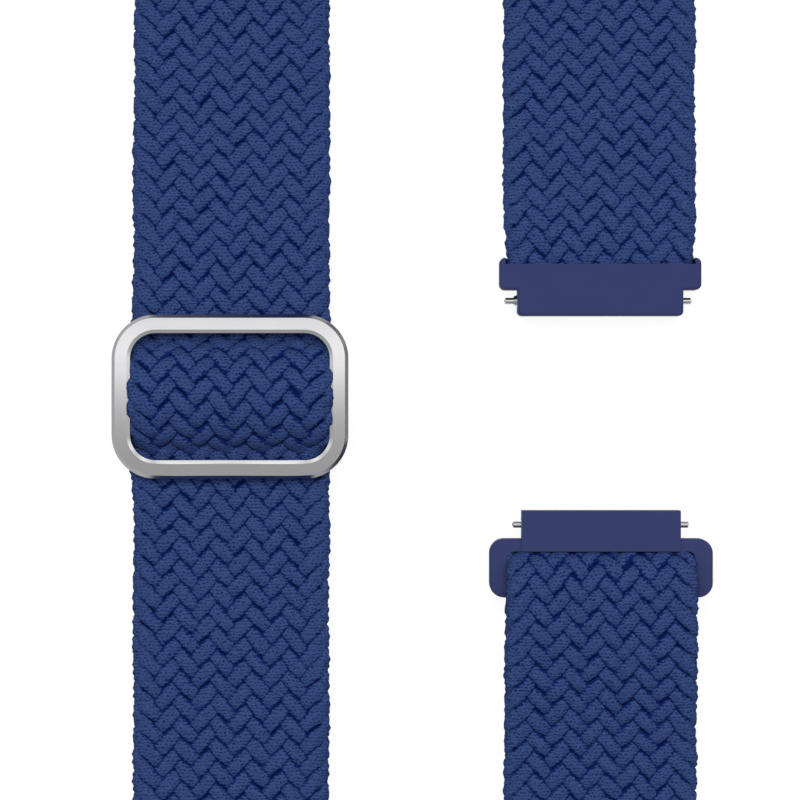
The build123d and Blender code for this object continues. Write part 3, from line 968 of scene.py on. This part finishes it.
class STRAP_OT_stage(bpy.types.Operator):
    """White floor, soft light from above and the camera"""

    bl_idname = "strap.stage"
    bl_label = "Studio"

    def execute(self, context):
        studio = context.scene.strap_studio
        self.floor(context.scene)
        self.sky(context.scene)
        self.lamp("key", KEY_PLACE, studio.key_power)
        self.lamp("fill", FILL_PLACE, studio.fill_power)
        self.camera(context.scene, studio)
        context.scene.view_settings.view_transform = "Standard"
        return {"FINISHED"}

    def floor(self, scene):
        """A square sheet of paper, a hair below the strap."""
        mesh = bpy.data.meshes.new("floor")
        corners = FLOOR_REACH * np.array([(-1, -1, 0), (1, -1, 0), (1, 1, 0), (-1, 1, 0)])
        mesh.from_pydata(corners.tolist(), [], [(0, 1, 2, 3)])
        mesh.materials.append(self.floor_finish())
        floor = bpy.data.objects.new("floor", mesh)
        floor.location.z = -FLOOR_DROP
        scene.collection.objects.link(floor)

    def floor_finish(self):
        """Near white with a faint shadow to the camera and in the metal, and pale paper to the light."""
        new = Finish("floor_paper")
        seen = new.node("ShaderNodeLightPath", output="Is Camera Ray")
        mirrored = new.node("ShaderNodeLightPath", output="Is Glossy Ray")
        paper = new.node("ShaderNodeBsdfDiffuse", Color=PAPER)
        glow = new.node("ShaderNodeEmission", Color=WHITE, Strength=FLOOR_GLOW)
        shadow = new.node("ShaderNodeBsdfDiffuse", Color=SHADOW_PAPER)
        white = new.node("ShaderNodeAddShader", glow, shadow)
        mixed = new.node("ShaderNodeMixShader", (seen + mirrored).clamp(), paper, white)
        new.node("ShaderNodeOutputMaterial", mixed)
        return new.material

    def sky(self, scene):
        """A dim surround with two bright bands overhead, a broad one near the zenith and a narrow one
        further towards +Y, and a little light from the sides, all mirrored by the metal."""
        world = bpy.data.worlds.new("studio")
        world.use_nodes = True
        new = Nodes(world.node_tree)
        across, along, up = new.split(new.node("ShaderNodeTexCoord", output="Generated"))
        panel = along.bell(0.15, 0.145)
        strip = along.bell(0.47, 0.07)
        sides = across.math("ABSOLUTE").ramp(0.3, 0.55) * up.ramp(0.2, 0.5)
        strength = up.ramp(0.5, 0.9) * (panel + strip * 1.3 + 0.25) + sides * 0.1 + 0.22
        back = new.node("ShaderNodeBackground", Color=WHITE, Strength=strength)
        new.node("ShaderNodeOutputWorld", back)
        scene.world = world

    def lamp(self, name, place, power):
        """Square soft lamp turned to the origin, and hidden from the metal's reflections."""
        light = bpy.data.lights.new(name, "AREA")
        light.size = LAMP_SIZE
        light.energy = power
        holder = bpy.data.objects.new(name, light)
        holder.location = place
        holder.visible_glossy = False
        flat = (place[0] ** 2 + place[1] ** 2) ** 0.5
        holder.rotation_euler = (0, atan2(flat, place[2]), atan2(place[1], place[0]))
        bpy.context.scene.collection.objects.link(holder)

    def camera(self, scene, studio):
        """Straight above, so far up that the picture has its width at the band's outer layer."""
        camera = bpy.data.cameras.new("camera")
        camera.lens = studio.lens
        camera.sensor_width = SENSOR_WIDTH
        camera.clip_start = CLIP_START
        camera.clip_end = CLIP_END
        holder = bpy.data.objects.new("camera", camera)
        distance = studio.view_width * studio.lens / SENSOR_WIDTH
        holder.location = (studio.view_x, 0, distance + OUTER_LEVEL)
        scene.collection.objects.link(holder)
        scene.camera = holder


class STRAP_PT_panel(bpy.types.Panel):
    """Panel with the strap's pieces"""

    bl_label = "Watch strap"
    bl_space_type = "VIEW_3D"
    bl_region_type = "UI"
    bl_category = "Strap"

    def draw(self, context):
        scene = context.scene
        for operator in OPERATORS:
            self.layout.operator(operator.bl_idname)
        for group in (scene.strap_braid, scene.strap_colours, scene.strap_studio):
            box = self.layout.box()
            for key in group.__annotations__:
                box.prop(group, key)


OPERATORS = (STRAP_OT_finishes, STRAP_OT_band, STRAP_OT_stage)
GROUPS = {"strap_braid": BraidSizes, "strap_colours": Colours, "strap_studio": StudioSizes}


def register():
    """Register the classes and hang the groups on the scene."""
    for kind in (*GROUPS.values(), *OPERATORS, STRAP_PT_panel):
        bpy.utils.register_class(kind)
    for key, kind in GROUPS.items():
        setattr(bpy.types.Scene, key, bpy.props.PointerProperty(type=kind))


def unregister():
    """Take everything off again."""
    for key in GROUPS:
        delattr(bpy.types.Scene, key)
    for kind in (STRAP_PT_panel, *reversed(OPERATORS), *reversed(GROUPS.values())):
        bpy.utils.unregister_class(kind)


def main():
    """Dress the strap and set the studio."""
    register()
    bpy.ops.strap.finishes()
    bpy.ops.strap.band()
    bpy.ops.strap.stage()


if __name__ == "__main__":
    main()
